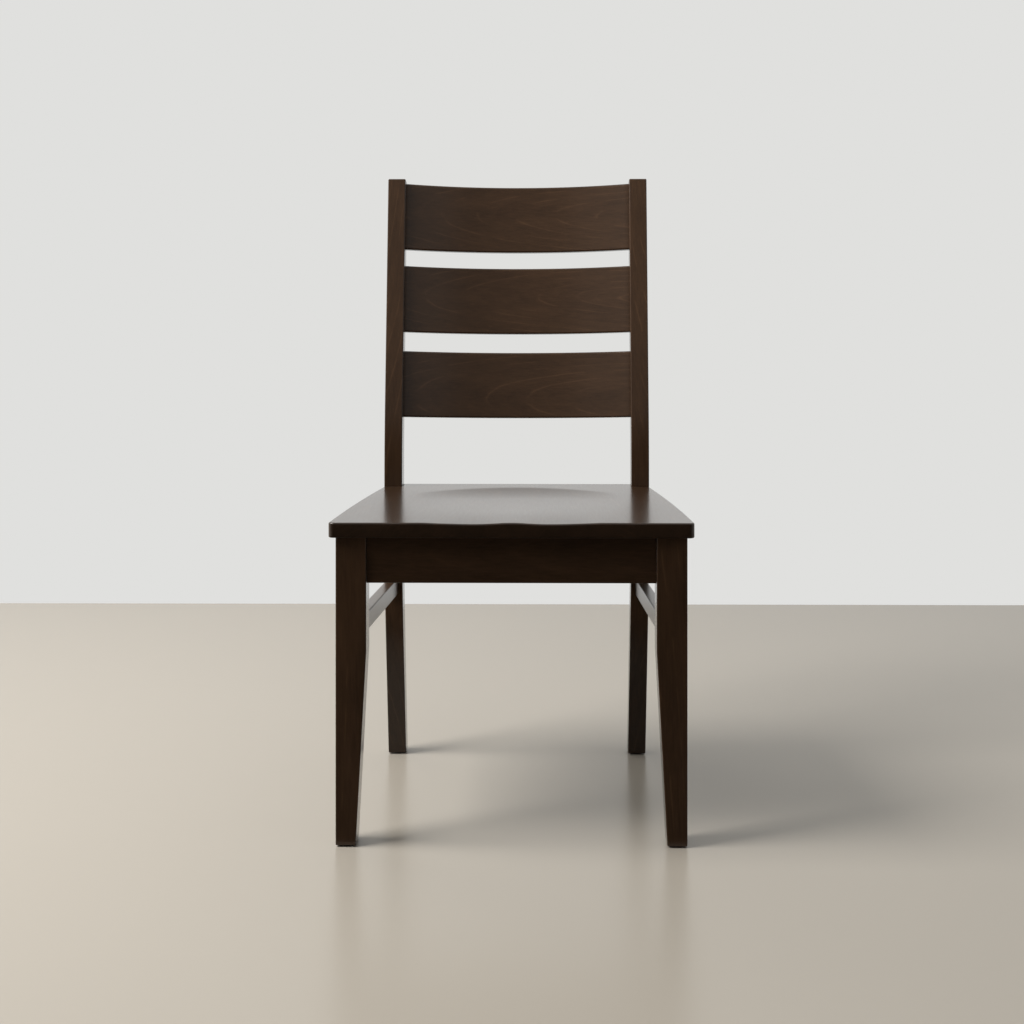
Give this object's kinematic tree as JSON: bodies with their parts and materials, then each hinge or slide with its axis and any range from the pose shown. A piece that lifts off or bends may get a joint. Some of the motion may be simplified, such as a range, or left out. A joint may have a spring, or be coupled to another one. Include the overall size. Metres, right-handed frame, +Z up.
{
  "type": "dining chair",
  "caption": "Ladder-back dining side chair in dark stained wood, with a scooped solid seat, bowed horizontal back slats, tapered front legs and side stretchers.",
  "frame": {"origin": "on the floor, under the middle of the chair's overall box", "axes": "+Z up, -Y the way the sitter faces, +X to the right of someone standing in front of the chair"},
  "size_m": [0.5166, 0.5025, 0.9802],
  "materials": {
    "stained_wood": "dark brown stain under satin lacquer",
    "plain_wood": "bare sanded beech",
    "zinc_steel": "zinc plated",
    "nylon": "moulded, matte"
  },
  "bodies": {
    "root": {"seat": "stained_wood", "front_leg_left": "stained_wood", "front_leg_right": "stained_wood", "rear_post_left": "stained_wood", "rear_post_right": "stained_wood", "front_apron": "stained_wood", "rear_apron": "stained_wood", "side_apron_left": "stained_wood", "side_apron_right": "stained_wood", "side_stretcher_left": "stained_wood", "side_stretcher_right": "stained_wood", "slat_top": "stained_wood", "slat_middle": "stained_wood", "slat_bottom": "stained_wood", "corner_block_front_left": "plain_wood", "corner_block_front_right": "plain_wood", "corner_block_rear_left": "plain_wood", "corner_block_rear_right": "plain_wood", "dowel_front_left_lower": "plain_wood", "dowel_front_left_upper": "plain_wood", "dowel_front_right_lower": "plain_wood", "dowel_front_right_upper": "plain_wood", "dowel_rear_left_lower": "plain_wood", "dowel_rear_left_upper": "plain_wood", "dowel_rear_right_lower": "plain_wood", "dowel_rear_right_upper": "plain_wood", "dowel_side_left_front_lower": "plain_wood", "dowel_side_left_front_upper": "plain_wood", "dowel_side_left_rear_lower": "plain_wood", "dowel_side_left_rear_upper": "plain_wood", "dowel_side_right_front_lower": "plain_wood", "dowel_side_right_front_upper": "plain_wood", "dowel_side_right_rear_lower": "plain_wood", "dowel_side_right_rear_upper": "plain_wood", "screw_front_left_cross": "zinc_steel", "screw_front_left_side": "zinc_steel", "screw_front_left_seat": "zinc_steel", "screw_front_right_cross": "zinc_steel", "screw_front_right_side": "zinc_steel", "screw_front_right_seat": "zinc_steel", "screw_rear_left_cross": "zinc_steel", "screw_rear_left_side": "zinc_steel", "screw_rear_left_seat": "zinc_steel", "screw_rear_right_cross": "zinc_steel", "screw_rear_right_side": "zinc_steel", "screw_rear_right_seat": "zinc_steel", "foot_glide_front_left": "nylon", "foot_glide_front_right": "nylon", "foot_glide_rear_left": "nylon", "foot_glide_rear_right": "nylon"}
  },
  "joints": []
}
